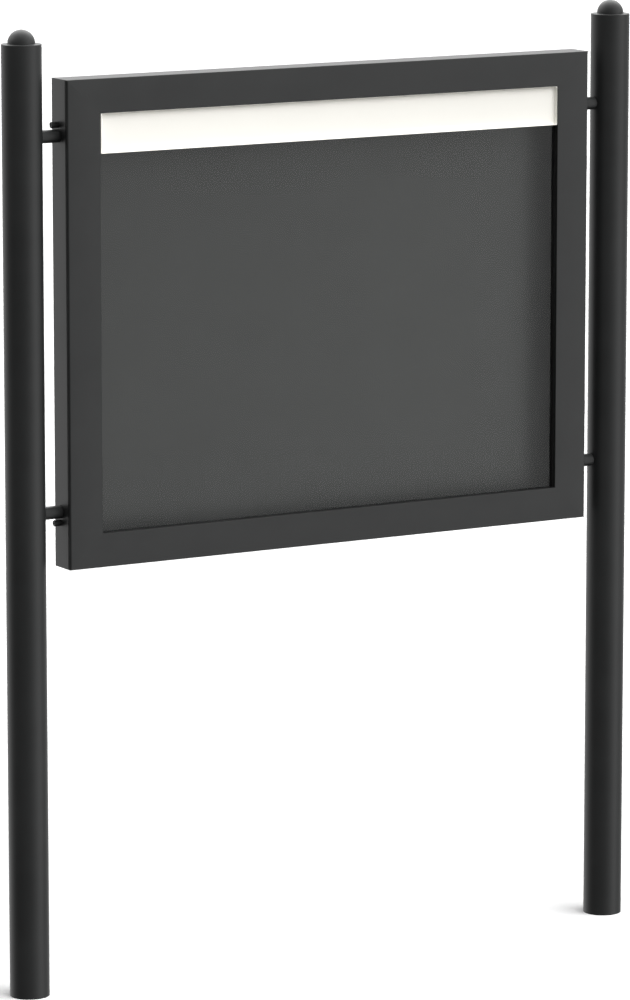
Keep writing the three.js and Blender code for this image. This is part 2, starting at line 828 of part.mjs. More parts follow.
function buildStand() {
  const group = new THREE.Group();
  for (const [side, sign] of [['left', -1], ['right', 1]]) {
    const post = piece(`post_${side}`, postTube(), paintedSteel);
    post.position.x = sign * postX;
    const cap = piece(`post_cap_${side}`, postCap(), paintedSteel);
    cap.position.set(sign * postX, 0, postHeight);
    group.add(post, cap);
    for (const [level, z] of [['lower', caseBottom + spacerInset], ['upper', caseTop - spacerInset]]) {
      const pair = new THREE.Group();
      pair.position.set(sign * caseHalf, 0, z);
      pair.rotation.z = sign > 0 ? 0 : Math.PI;
      pair.add(
        piece(`spacer_${level}_${side}`, spacer(), paintedSteel),
        piece(`spacer_bolt_${level}_${side}`, spacerBolt(), zincSteel),
      );
      group.add(pair);
    }
  }
  return group;
}

const board = new THREE.Group();
board.add(
  buildStand(),
  buildCaseFrame(),
  buildCornerAngles(),
  buildSheets(),
  buildSeal(),
  buildDoorFrame(),
  buildCornerKeys(),
  buildGlazing(),
  buildHeader(),
  buildLock('lower', caseBottom + lockInset),
  buildLock('upper', caseTop - lockInset),
  buildKeeper('lower', caseBottom + lockInset, -1),
  buildKeeper('upper', caseTop - lockInset, 1),
  buildHinge('lower', caseBottom + hingeInset),
  buildHinge('upper', caseTop - hingeInset),
);

export default board;
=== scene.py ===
"""Lockable notice board on two round posts: fine shapes, finishes, studio and camera.

Everything is in metres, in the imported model's own frame: +Z is up, +X is to the right of
someone who faces the door, and the door faces -Y.
"""

import logging
import math
from dataclasses import dataclass
from enum import Enum
from typing import Any, Mapping, Sequence

import bmesh
import bpy
from mathutils import Matrix, Vector


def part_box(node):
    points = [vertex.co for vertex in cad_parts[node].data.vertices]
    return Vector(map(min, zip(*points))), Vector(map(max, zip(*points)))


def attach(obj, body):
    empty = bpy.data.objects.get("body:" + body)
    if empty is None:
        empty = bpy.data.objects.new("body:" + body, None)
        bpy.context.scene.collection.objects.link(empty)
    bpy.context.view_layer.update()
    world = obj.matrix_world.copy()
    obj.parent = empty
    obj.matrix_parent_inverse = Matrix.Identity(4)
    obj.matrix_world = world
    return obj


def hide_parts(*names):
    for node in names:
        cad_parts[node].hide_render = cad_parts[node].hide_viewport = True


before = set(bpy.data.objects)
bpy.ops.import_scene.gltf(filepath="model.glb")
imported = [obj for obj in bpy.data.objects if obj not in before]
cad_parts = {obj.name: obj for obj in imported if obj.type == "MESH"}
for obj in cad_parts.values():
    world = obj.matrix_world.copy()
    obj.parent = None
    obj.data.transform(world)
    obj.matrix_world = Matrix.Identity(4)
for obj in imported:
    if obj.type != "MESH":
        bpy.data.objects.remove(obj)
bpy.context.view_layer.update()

LOG = logging.getLogger("notice_board")

# Shared units and limits
MM = 0.001
WELD = 1e-6
QUARTER = math.pi / 2
SMOOTH_ANGLE = math.radians(32)
FLAT_ANGLE = math.radians(1)
FINE_SIDES = 128
ROD_SIDES = 64

# The sRGB curve's constants
SRGB_KNEE, SRGB_SLOPE, SRGB_OFFSET, SRGB_POWER = 0.04045, 12.92, 0.055, 2.4
# The numbers of the Mix node's two colour inputs and of its colour output
MIX_FIRST, MIX_SECOND, MIX_COLOUR = 6, 7, 2
# The numbers of the Mix node's two plain inputs
MIX_LOW, MIX_HIGH = 2, 3

Socket = bpy.types.NodeSocket
Tree = bpy.types.NodeTree
Pair = tuple[float, float]
Corner = tuple[float, float, float]
Rings = Sequence[Sequence[Vector]]
Stops = tuple[Pair, ...]


class Body(str, Enum):
    """The rigid bodies that pieces ride on."""

    STAND = "stand"
    DOOR = "door"
    LOWER_ROTOR = "lower_lock_rotor"
    UPPER_ROTOR = "upper_lock_rotor"


class OneOfTwo(Enum):
    """One of a pair, whose word goes into the pieces' names."""

    @property
    def word(self) -> str:
        """The word in the pieces' names."""
        return self.name.lower()


class Side(OneOfTwo):
    """Left or right of the board, as someone who faces the door sees it, as a sign along X."""

    LEFT = -1
    RIGHT = 1


class Level(OneOfTwo):
    """The lower or the upper one of a pair, as a sign along Z."""

    LOWER = -1
    UPPER = 1


class Turn(Enum):
    """The turn about Y that brings a frame member's outer edge to its side of the frame."""

    LEFT = 0.0
    TOP = QUARTER
    RIGHT = math.pi
    BOTTOM = -QUARTER


def linear(hex_colour: str) -> tuple[float, float, float, float]:
    """Turns an sRGB hex colour to a linear one.

    Args:
        hex_colour: The colour as six hex digits after a hash sign.

    Returns:
        Linear red, green, blue and an alpha of one.
    """
    parts = [int(hex_colour[place:place + 2], 16) / 255 for place in (1, 3, 5)]
    red, green, blue = (
        part / SRGB_SLOPE if part <= SRGB_KNEE
        else ((part + SRGB_OFFSET) / (1 + SRGB_OFFSET)) ** SRGB_POWER
        for part in parts
    )
    return red, green, blue, 1.0


def add_node(
    tree: Tree,
    kind: str,
    settings: Mapping[Any, Any] | None = None,
    links: Mapping[Any, Socket] | None = None,
) -> bpy.types.Node:
    """Adds a node with its settings and links.

    Args:
        tree: The node tree that takes the node.
        kind: The node's type name.
        settings: Values by the name of a property, or by the name or number of an input.
        links: The outputs that feed inputs, by the input's name or number.

    Returns:
        The new node.
    """
    node = tree.nodes.new(kind)
    for key, value in (settings or {}).items():
        if isinstance(key, str) and hasattr(node, key):
            setattr(node, key, value)
        else:
            node.inputs[key].default_value = value
    for key, source in (links or {}).items():
        tree.links.new(source, node.inputs[key])
    return node


def per_metre(size_mm: float) -> float:
    """Returns the texture scale that gives a pattern of that size in millimetres."""
    return 1 / (size_mm * MM)


def round_angles(sides: int) -> list[float]:
    """Returns the angles of that many facets round a full turn."""
    return [math.tau * side / sides for side in range(sides)]


def quarter_angles(steps: int) -> list[float]:
    """Returns the angles of that many steps over a quarter turn, with both ends."""
    return [QUARTER * step / steps for step in range(steps + 1)]


def towards(azimuth: float, elevation: float) -> Corner:
    """Returns the direction at degrees from the front towards the right, and above level."""
    across, up = math.radians(azimuth), math.radians(elevation)
    return math.sin(across) * math.cos(up), -math.cos(across) * math.cos(up), math.sin(up)


@dataclass(frozen=True)
class Grain:
    """An uneven pattern: its patches' size, and how far and how strongly it breaks up."""

    size_mm: float
    detail: float
    breakup: float = 0.5

    @property
    def settings(self) -> dict[str, float]:
        """The settings of the noise node that draws it."""
        return {"Scale": per_metre(self.size_mm), "Detail": self.detail, "Roughness": self.breakup}


@dataclass(frozen=True)
class Finish:
    """What a surface is made of and how it was made, and the record's slot for it."""

    name: str
    slot: str = ""

    def material(self) -> bpy.types.Material:
        """Gives the finish's material, which is made the first time it is asked for.

        Returns:
            The material.
        """
        found = bpy.data.materials.get(self.name)
        if found:
            return found
        made = bpy.data.materials.new(self.name)
        made.use_nodes = True
        tree = made.node_tree
        tree.nodes.clear()
        add_node(tree, "ShaderNodeOutputMaterial", links={"Surface": self.shade(tree)})
        return made

    def shade(self, tree: Tree) -> Socket:
        """Builds the finish's nodes in an empty tree and returns its shader."""
        raise NotImplementedError


@dataclass(frozen=True)
class SolidFinish(Finish):
    """A finish that hides what is under it: two close shades, uneven gloss and a fine skin."""

    dark: str = "#000000"
    light: str = "#ffffff"
    metallic: float = 0.0
    ior: float = 1.5
    roughness: float = 0.5
    spread: float = 0.1
    cloud: Grain = Grain(90.0, 4.0)
    speck: Grain | None = None
    skin: Grain | None = None
    skin_height_mm: float = 0.0

    def shade(self, tree: Tree) -> Socket:
        """Lays the finish's patterns over the piece and makes the shader from them.

        Args:
            tree: The empty node tree of the material.

        Returns:
            The shader that goes to the surface.
        """
        place = add_node(tree, "ShaderNodeTexCoord").outputs["Object"]
        cloud, speck, skin = (
            grain and add_node(
                tree, "ShaderNodeTexNoise", grain.settings, {"Vector": place},
            ).outputs["Fac"]
            for grain in (self.cloud, self.speck, self.skin)
        )
        tone, wear = self.mottle(tree, cloud, speck)
        colour = add_node(
            tree, "ShaderNodeMix",
            {"data_type": "RGBA", MIX_FIRST: linear(self.dark), MIX_SECOND: linear(self.light)},
            {0: tone},
        )
        gloss = add_node(
            tree, "ShaderNodeMapRange",
            {"To Min": self.roughness - self.spread, "To Max": self.roughness + self.spread},
            {"Value": wear},
        )
        links = {"Base Color": colour.outputs[MIX_COLOUR], "Roughness": gloss.outputs["Result"]}
        if skin is not None:
            bump = add_node(
                tree, "ShaderNodeBump", {"Distance": self.skin_height_mm * MM}, {"Height": skin},
            )
            links["Normal"] = bump.outputs["Normal"]
        return add_node(
            tree, "ShaderNodeBsdfPrincipled", {"Metallic": self.metallic, "IOR": self.ior}, links,
        ).outputs["BSDF"]

    def mottle(self, tree: Tree, cloud: Socket, speck: Socket | None) -> tuple[Socket, Socket]:
        """Returns the patterns of the shade and of the gloss: the slow cloud for both."""
        return cloud, cloud


@dataclass(frozen=True)
class PowderCoat(SolidFinish):
    """Polyester powder, sprayed and baked on metal: a flowed, faintly rippled semi-gloss skin."""

    dark: str = "#1e1f1f"
    light: str = "#242525"
    roughness: float = 0.42
    spread: float = 0.04
    cloud: Grain = Grain(90.0, 4.0, 0.6)
    # Powder grains are a tenth of this size. They are drawn this coarse to show at all.
    speck: Grain = Grain(1.2, 1.0)
    skin: Grain = Grain(3.5, 1.0)
    skin_height_mm: float = 0.004
    speck_share: float = 0.3
    tone_from: float = 0.45
    tone_to: float = 0.85

    def mottle(self, tree: Tree, cloud: Socket, speck: Socket | None) -> tuple[Socket, Socket]:
        """Peppers the cloud with powder grains for the shade, and leaves it plain for the gloss.

        Args:
            tree: The material's node tree.
            cloud: The slow pattern.
            speck: The fine pattern.

        Returns:
            The share of the light shade, and the pattern of the gloss.
        """
        both = add_node(
            tree, "ShaderNodeMath", {"operation": "MULTIPLY_ADD", 1: self.speck_share},
            {0: speck, 2: cloud},
        )
        tone = add_node(
            tree, "ShaderNodeMapRange", {"From Min": self.tone_from, "From Max": self.tone_to},
            {"Value": both.outputs[0]},
        )
        return tone.outputs["Result"], cloud


@dataclass(frozen=True)
class SheetPaint(SolidFinish):
    """Satin paint sprayed on sheet: even, with a faint stipple and a slow drift in shade."""

    dark: str = "#f7f5ee"
    light: str = "#fbf9f2"
    ior: float = 1.48
    roughness: float = 0.42
    spread: float = 0.06
    cloud: Grain = Grain(140.0, 5.0, 0.55)
    # The stipple is about twice as coarse as real spray, so that it shows.
    skin: Grain = Grain(1.6, 2.0)
    skin_height_mm: float = 0.004


@dataclass(frozen=True)
class GalvanisedSheet(SolidFinish):
    """Steel sheet dipped in zinc: grey crystals a few millimetres wide, each with its own shine."""

    dark: str = "#8f9496"
    light: str = "#b9bdbf"
    metallic: float = 1.0
    roughness: float = 0.42
    cloud: Grain = Grain(70.0, 5.0)
    spangle_mm: float = 9.0

    def mottle(self, tree: Tree, cloud: Socket, speck: Socket | None) -> tuple[Socket, Socket]:
        """Gives each crystal its own shade and gloss, and darkens the sheet in patches.

        Args:
            tree: The material's node tree.
            cloud: The patches.
            speck: Not used.

        Returns:
            The share of the light shade, and the pattern of the gloss.
        """
        place = add_node(tree, "ShaderNodeTexCoord").outputs["Object"]
        crystal = add_node(
            tree, "ShaderNodeTexVoronoi", {"Scale": per_metre(self.spangle_mm)}, {"Vector": place},
        )
        each = add_node(tree, "ShaderNodeSeparateColor", links={"Color": crystal.outputs["Color"]})
        tone = add_node(
            tree, "ShaderNodeMath", {"operation": "MULTIPLY"}, {0: each.outputs["Red"], 1: cloud},
        )
        return tone.outputs[0], each.outputs["Green"]


@dataclass(frozen=True)
class ZincPlate(SolidFinish):
    """Small steel parts plated with bright zinc: silvery, with drawing marks and dark spots."""

    dark: str = "#a3a6a6"
    light: str = "#c9cccb"
    metallic: float = 1.0
    roughness: float = 0.34
    cloud: Grain = Grain(8.0, 3.0)
    # Drawing marks are finer than this. They are drawn this coarse to show at all.
    speck: Grain = Grain(1.5, 3.0)

    def mottle(self, tree: Tree, cloud: Socket, speck: Socket | None) -> tuple[Socket, Socket]:
        """Returns the patterns of the shade and of the gloss: dark spots and drawing marks."""
        return cloud, speck


@dataclass(frozen=True)
class Rubber(SolidFinish):
    """Extruded black rubber, or black foam: matt, with a bloom that greys it unevenly."""

    dark: str = "#131313"
    light: str = "#1d1d1d"
    ior: float = 1.52
    roughness: float = 0.7
    cloud: Grain = Grain(25.0, 4.0)
    # The grain of the skin is about three times as coarse as real, so that it shows.
    skin: Grain = Grain(0.9, 2.0)
    skin_height_mm: float = 0.02


@dataclass(frozen=True)
class FloatGlass(Finish):
    """Clear glass, drawn flat on molten tin: a true mirror of the studio, with a film of dust."""

    tint: str = "#fafbfa"
    ior: float = 1.5
    # A coat on the pane cuts its reflection to less than half of bare glass's.
    mirror: tuple[float, float, float, float] = (0.445, 0.445, 0.445, 1.0)
    film: Grain = Grain(60.0, 4.0)
    film_from: float = 0.4
    film_to: float = 0.8
    film_roughness: float = 0.02

    def shade(self, tree: Tree) -> Socket:
        """Makes clear glass that lamps and gloss see through, with a film that dulls it in places.

        Args:
            tree: The empty node tree of the material.

        Returns:
            The shader that goes to the surface.
        """
        place = add_node(tree, "ShaderNodeTexCoord").outputs["Object"]
        film = add_node(tree, "ShaderNodeTexNoise", self.film.settings, {"Vector": place})
        dull = add_node(
            tree, "ShaderNodeMapRange",
            {"From Min": self.film_from, "From Max": self.film_to, "To Max": self.film_roughness},
            {"Value": film.outputs["Fac"]},
        )
        glass = add_node(
            tree, "ShaderNodeBsdfPrincipled",
            {"Base Color": linear(self.tint), "Transmission Weight": 1.0, "IOR": self.ior,
             "Specular Tint": self.mirror},
            {"Roughness": dull.outputs["Result"]},
        )
        ray = add_node(tree, "ShaderNodeLightPath")
        mirrored = add_node(
            tree, "ShaderNodeMath", {"operation": "SUBTRACT", "use_clamp": True},
            {0: ray.outputs["Is Glossy Ray"], 1: ray.outputs["Is Transmission Ray"]},
        )
        passes = add_node(
            tree, "ShaderNodeMath", {"operation": "MAXIMUM"},
            {0: ray.outputs["Is Shadow Ray"], 1: mirrored.outputs[0]},
        )
        clear = add_node(tree, "ShaderNodeBsdfTransparent", {"Color": linear(self.tint)})
        return add_node(
            tree, "ShaderNodeMixShader",
            links={0: passes.outputs[0], 1: glass.outputs["BSDF"], 2: clear.outputs["BSDF"]},
        ).outputs["Shader"]


# Steel tube and aluminium sections under polyester powder: near-black and semi-gloss, so that
# the studio's white walls show in them as soft bands.
POST_COAT = PowderCoat("powder_coated_steel_tube", "post_paint")
CASE_COAT = PowderCoat("powder_coated_aluminium_section", "case_paint")
# Aluminium beads under black powder, a shade darker than the frame's coat: the extra darkness is
# painted shade, a thin shadow line round the glass.
BEAD_COAT_WITH_PAINTED_SHADE = PowderCoat(
    "black_coated_glazing_bead", "bead_paint", dark="#161616", light="#1a1a1a",
)
# Zinc castings under a thin black coat: glossier than the frame, with a finer ripple.
LOCK_COAT = PowderCoat(
    "black_coated_zinc_casting", "lock_black", dark="#131313", light="#181818", roughness=0.36,
    cloud=Grain(12.0, 4.0, 0.6), skin=Grain(1.5, 1.0),
)
# The display panel is sheet steel with the case's own coat; the glass's mirror greys it.
PANEL_PAINT = PowderCoat("powder_coated_steel_sheet", "panel_paint")
# The header is a folded tray with a warm white satin paint, the one bright part of the board.
HEADER_PAINT = SheetPaint("painted_folded_sheet_white", "white_paint")
# Hot-dipped sheet: a mottled, silvery grey back with pale spangles.
BACK_ZINC = GalvanisedSheet("hot_dipped_galvanised_sheet", "back_sheet_zinc")
# Pressed steel with a zinc plate: bright fittings that mirror softly.
FITTING_ZINC = ZincPlate("zinc_plated_pressed_steel", "zinc_plate")
# Extruded rubber: matt black lines round the glass and the case.
SEAL_RUBBER = Rubber("extruded_epdm_rubber", "black_rubber")
# Closed-cell foam: a matt, slightly greyer black with a rougher skin.
TAPE_FOAM = Rubber(
    "black_polyethylene_foam_tape", "foam_tape", dark="#1a1a1a", light="#262626",
    skin_height_mm=0.05,
)
# Float glass: clear and flat, so that it greys the dark panel with the studio's walls.
PANE_GLASS = FloatGlass("clear_float_glass", "clear_glass")


def inset_corners(low: Vector, high: Vector, inset: float) -> list[Pair]:
    """Returns the x and z of a box's corners seen from the front, each moved in by the inset."""
    left, right, bottom, top = low.x + inset, high.x - inset, low.z + inset, high.z - inset
    return [(left, bottom), (right, bottom), (right, top), (left, top)]


def filleted(corners: Sequence[Corner], closed: bool, steps: int = 6) -> list[Vector]:
    """Rounds the corners of an outline.

    Args:
        corners: The outline's corners as x, y and the radius there.
        closed: True if the last corner joins the first.
        steps: The number of chords in each rounded corner.

    Returns:
        The outline's points in order.
    """
    points: list[Vector] = []
    last = len(corners) - 1
    for index, (x, y, radius) in enumerate(corners):
        here = Vector((x, y))
        if radius <= 0 or (not closed and index in (0, last)):
            points.append(here)
            continue
        back = (Vector(corners[index - 1][:2]) - here).normalized()
        onward = (Vector(corners[(index + 1) % len(corners)][:2]) - here).normalized()
        half = back.angle(onward) / 2
        centre = here + (back + onward).normalized() * (radius / math.sin(half))
        first = here + back * (radius / math.tan(half)) - centre
        final = here + onward * (radius / math.tan(half)) - centre
        sweep = first.angle_signed(final)
        for step in range(steps + 1):
            points.append(centre + Matrix.Rotation(-sweep * step / steps, 2) @ first)
    return points


def finished_object(name: str, work: bmesh.types.BMesh) -> bpy.types.Object:
    """Turns a bmesh into an object with smooth curves and crisp corners.

    Args:
        name: The piece's name.
        work: The mesh, which is freed here.

    Returns:
        The new object, which sits at the origin.
    """
    bmesh.ops.remove_doubles(work, verts=work.verts, dist=WELD)
    bmesh.ops.recalc_face_normals(work, faces=work.faces)
    for face in work.faces:
        face.smooth = True
    for edge in work.edges:
        edge.smooth = edge.calc_face_angle(math.pi) < SMOOTH_ANGLE
    mesh = bpy.data.meshes.new(name)
    work.to_mesh(mesh)
    work.free()
    made = bpy.data.objects.new(name, mesh)
    bpy.context.scene.collection.objects.link(made)
    return made


def skinned(
    name: str, shells: Sequence[Rings], closed: bool, place: Matrix | None = None,
) -> bpy.types.Object:
    """Makes an object of one or more skins, each drawn over its own rings of points.

    Args:
        name: The piece's name.
        shells: The rings of each skin in order, with as many points each.
        closed: True if the last ring joins the first; otherwise both ends are capped.
        place: Where the piece goes, as a matrix on its points.

    Returns:
        The new object.
    """
    work = bmesh.new()
    for rings in shells:
        rows = [[work.verts.new(point) for point in ring] for ring in rings]
        for here, there in zip(rows, rows[1:] + (rows[:1] if closed else [])):
            for index in range(len(here)):
                onward = (index + 1) % len(here)
                work.faces.new((here[index], here[onward], there[onward], there[index]))
        if not closed:
            work.faces.new(rows[0])
            work.faces.new(rows[-1])
    if place is not None:
        work.transform(place)
    return finished_object(name, work)


def turned(
    name: str, outline: Sequence[Vector], place: Matrix, closed: bool, sides: int,
) -> bpy.types.Object:
    """Turns an outline on a lathe, about its own Z.

    Args:
        name: The piece's name.
        outline: Points as radius and height. An open outline is capped at both ends.
        place: Where the piece goes.
        closed: True if the outline's last point joins its first, as in a tube.
        sides: The number of facets round the axis.

    Returns:
        The turned piece.
    """
    rings = [
        [Vector((radius * math.cos(angle), radius * math.sin(angle), height))
         for angle in round_angles(sides)]
        for radius, height in outline
    ]
    return skinned(name, [rings], closed, place)


def install(
    piece: bpy.types.Object, finish: Finish, body: Body, nodes: Sequence[str] = (),
) -> None:
    """Gives a piece its finish and its body, hides the nodes that it stands for, and logs it.

    Args:
        piece: The new piece.
        finish: Its finish.
        body: The body that it rides on.
        nodes: The nodes that it replaces.
    """
    piece.data.materials.clear()
    piece.data.materials.append(finish.material())
    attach(piece, body.value)
    if nodes:
        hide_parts(*nodes)
    LOG.info("%s: %s on %s", piece.name, finish.name, body.value)


def install_eased(
    name: str, node: str, ease_mm: float, finish: Finish, body: Body, steps: int = 2,
) -> None:
    """Puts a piece in a node's place, with its edges rounded as a file or a coat leaves them.

    Args:
        name: The piece's name.
        node: The node that gives the shape.
        ease_mm: The width of the rounding in millimetres.
        finish: The piece's finish.
        body: The body that it rides on.
        steps: The number of chords in the rounding.
    """
    work = bmesh.new()
    work.from_mesh(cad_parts[node].data)
    bmesh.ops.remove_doubles(work, verts=work.verts, dist=WELD)
    bmesh.ops.dissolve_limit(work, angle_limit=FLAT_ANGLE, verts=work.verts, edges=work.edges)
    # Only the points and faces go over, and none of the node's own normals.
    plain = bpy.data.meshes.new(name + "_plain")
    work.to_mesh(plain)
    work.clear()
    points = [work.verts.new(vertex.co) for vertex in plain.vertices]
    for polygon in plain.polygons:
        work.faces.new([points[index] for index in polygon.vertices])
    bpy.data.meshes.remove(plain)
    piece = finished_object(name, work)
    bevel = piece.modifiers.new("eased_edges", "BEVEL")
    bevel.width = ease_mm * MM
    bevel.segments = steps
    bevel.limit_method = "ANGLE"
    bevel.angle_limit = SMOOTH_ANGLE
    bevel.harden_normals = True
    install(piece, finish, body, [node])


@dataclass
class PostPair:
    """The two tube posts with their domed caps."""

    wall_mm: float = 3.0
    foot_ease_mm: float = 0.4
    flange_mm: float = 3.0
    flange_ease_mm: float = 0.5
    dome_radius_mm: float = 26.0
    dome_fillet_mm: float = 0.8
    spigot_gap_mm: float = 0.3
    dome_steps: int = 24

    def build(self) -> None:
        """Builds and dresses both posts and both caps."""
        for side in Side:
            self.build_tube(side)
            self.build_cap(side)

    def build_tube(self, side: Side) -> None:
        """Builds one post, an open tube with its cut end eased.

        Args:
            side: The post's side.
        """
        low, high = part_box(f"post_{side.word}")
        radius = (high.x - low.x) / 2
        inner = radius - self.wall_mm * MM
        ease = self.foot_ease_mm * MM
        outline = filleted(
            [(inner, 0, ease), (radius, 0, ease), (radius, high.z, 0), (inner, high.z, 0)],
            closed=True,
        )
        place = Matrix.Translation(((low.x + high.x) / 2, 0, 0))
        tube = turned(f"post_tube_{side.word}", outline, place, closed=True, sides=FINE_SIDES)
        install(tube, POST_COAT, Body.STAND, [f"post_{side.word}"])

    def build_cap(self, side: Side) -> None:
        """Builds one cap: a spigot in the tube, a flush flange and a smaller dome.

        Args:
            side: The cap's side.
        """
        low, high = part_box(f"post_cap_{side.word}")
        radius = (high.x - low.x) / 2
        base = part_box(f"post_{side.word}")[1].z
        flange_top = base + self.flange_mm * MM
        dome = self.dome_radius_mm * MM
        centre = high.z - dome
        spigot = radius - (self.wall_mm + self.spigot_gap_mm) * MM
        bore = spigot - self.wall_mm * MM
        inside = (
            (0, base), (bore, base), (bore, low.z), (spigot, low.z), (spigot, base), (radius, base),
        )
        outline = [Vector(point) for point in inside]
        flange = [
            (radius, base, 0), (radius, flange_top, self.flange_ease_mm * MM),
            (dome, flange_top, self.dome_fillet_mm * MM), (dome, centre, 0),
        ]
        outline += filleted(flange, closed=False)[1:]
        for angle in quarter_angles(self.dome_steps)[1:]:
            outline.append(Vector((dome * math.cos(angle), centre + dome * math.sin(angle))))
        place = Matrix.Translation(((low.x + high.x) / 2, 0, 0))
        cap = turned(f"domed_cap_{side.word}", outline, place, closed=False, sides=FINE_SIDES)
        install(cap, POST_COAT, Body.STAND, [f"post_cap_{side.word}"])


@dataclass
class SpacerSet:
    """The four round spacers between the case and the posts, and the bolts inside the case."""

    wall_ease_mm: float = 0.5
    saddle_ease_mm: float = 0.9
    bolt_ease_mm: float = 0.5

    def build(self) -> None:
        """Builds and dresses every spacer and its bolt."""
        for side in Side:
            for level in Level:
                name = f"{level.word}_{side.word}"
                self.build_spacer(side, name)
                install_eased(
                    f"hexagon_bolt_{name}", f"spacer_bolt_{name}", self.bolt_ease_mm,
                    FITTING_ZINC, Body.STAND,
                )

    def build_spacer(self, side: Side, name: str) -> None:
        """Builds one spacer, whose outer end fits the post's round.

        Args:
            side: The spacer's side.
            name: Its level and side in words.
        """
        low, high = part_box(f"spacer_{name}")
        post_low, post_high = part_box(f"post_{side.word}")
        case_low, case_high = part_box(f"case_side_{side.word}")
        post_x = (post_low.x + post_high.x) / 2
        post_radius = (post_high.x - post_low.x) / 2
        radius = (high.y - low.y) / 2
        height = (low.z + high.z) / 2
        wall_x = case_low.x if side is Side.LEFT else case_high.x
        ease, groove = self.wall_ease_mm * MM, self.saddle_ease_mm * MM
        # Each end has an eased ring and a whole one, with its distance from the wall or post.
        ends = (
            (radius - ease, 0.0, False), (radius, ease, False),
            (radius, groove, True), (radius - groove, 0.0, True),
        )
        rings = []
        for reach, gap, on_post in ends:
            ring = []
            for angle in round_angles(ROD_SIDES):
                y = reach * math.cos(angle)
                x = wall_x + side.value * gap
                if on_post:
                    x = post_x - side.value * (math.sqrt(post_radius ** 2 - y ** 2) + gap)
                ring.append(Vector((x, y, height + reach * math.sin(angle))))
            rings.append(ring)
        spacer = skinned(f"round_spacer_{name}", [rings], closed=False)
        install(spacer, POST_COAT, Body.STAND, [f"spacer_{name}"])


@dataclass
class CaseShell:
    """The case's four sides, its corner angles, its back sheet with rivets and its seal."""

    edge_ease_mm: float = 0.35
    sheet_ease_mm: float = 0.2
    angle_ease_mm: float = 0.4
    rivet_radius_mm: float = 4.0
    rivet_height_mm: float = 1.4
    rivet_inset_mm: float = 9.0
    rivet_spacing_mm: float = 190.0
    rivet_steps: int = 5
    rivet_sides: int = 24
    seal_width_mm: float = 4.0
    seal_ease_mm: float = 1.6

    def build(self) -> None:
        """Builds and dresses the whole shell."""
        for part in ("side_left", "side_right", "top", "bottom"):
            install_eased(
                f"case_member_{part}", f"case_{part}", self.edge_ease_mm, CASE_COAT, Body.STAND,
            )
        for level in Level:
            for side in Side:
                name = f"corner_angle_{level.word}_{side.word}"
                install_eased(
                    f"inner_{name}", f"case_{name}", self.angle_ease_mm, FITTING_ZINC, Body.STAND,
                )
        install_eased(
            "galvanised_back_sheet", "back_sheet", self.sheet_ease_mm, BACK_ZINC, Body.STAND,
        )
        self.build_rivets()
        self.build_seal()

    def build_rivets(self) -> None:
        """Builds the rivets that hold the back sheet to the case's ledge, as one piece."""
        low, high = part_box("back_sheet")
        inset, spacing = self.rivet_inset_mm * MM, self.rivet_spacing_mm * MM
        left, right = low.x + inset, high.x - inset
        bottom, top = low.z + inset, high.z - inset
        columns, rows = round((right - left) / spacing), round((top - bottom) / spacing)
        places = [
            (left + (right - left) * step / columns, z)
            for step in range(columns + 1) for z in (bottom, top)
        ]
        places += [
            (x, bottom + (top - bottom) * step / rows)
            for step in range(1, rows) for x in (left, right)
        ]
        heads = []
        for x, z in places:
            rings = []
            for angle in quarter_angles(self.rivet_steps)[:-1]:
                reach = self.rivet_radius_mm * MM * math.cos(angle)
                y = high.y + self.rivet_height_mm * MM * math.sin(angle)
                rings.append([
                    Vector((x + reach * math.cos(turn), y, z + reach * math.sin(turn)))
                    for turn in round_angles(self.rivet_sides)
                ])
            heads.append(rings)
        install(skinned("back_sheet_rivets", heads, closed=False), FITTING_ZINC, Body.STAND)

    def build_seal(self) -> None:
        """Builds the rubber seal that the door shuts against, a strip with a rounded front."""
        low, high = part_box("door_seal")
        width, ease = self.seal_width_mm * MM, self.seal_ease_mm * MM
        profile = filleted(
            [(0, low.y, ease), (width, low.y, ease), (width, high.y, 0), (0, high.y, 0)],
            closed=True,
        )
        frames = [
            [Vector((x, y, z)) for x, z in inset_corners(low, high, inset)] for inset, y in profile
        ]
        seal = skinned("door_seal_strip", [list(zip(*frames))], closed=True)
        install(seal, SEAL_RUBBER, Body.STAND, ["door_seal"])


@dataclass
class DisplayBoard:
    """The dark panel that takes the notices."""

    ease_mm: float = 0.3

    def build(self) -> None:
        """Builds and dresses the panel."""
        install_eased(
            "magnetic_display_panel", "display_panel", self.ease_mm, PANEL_PAINT, Body.STAND,
        )


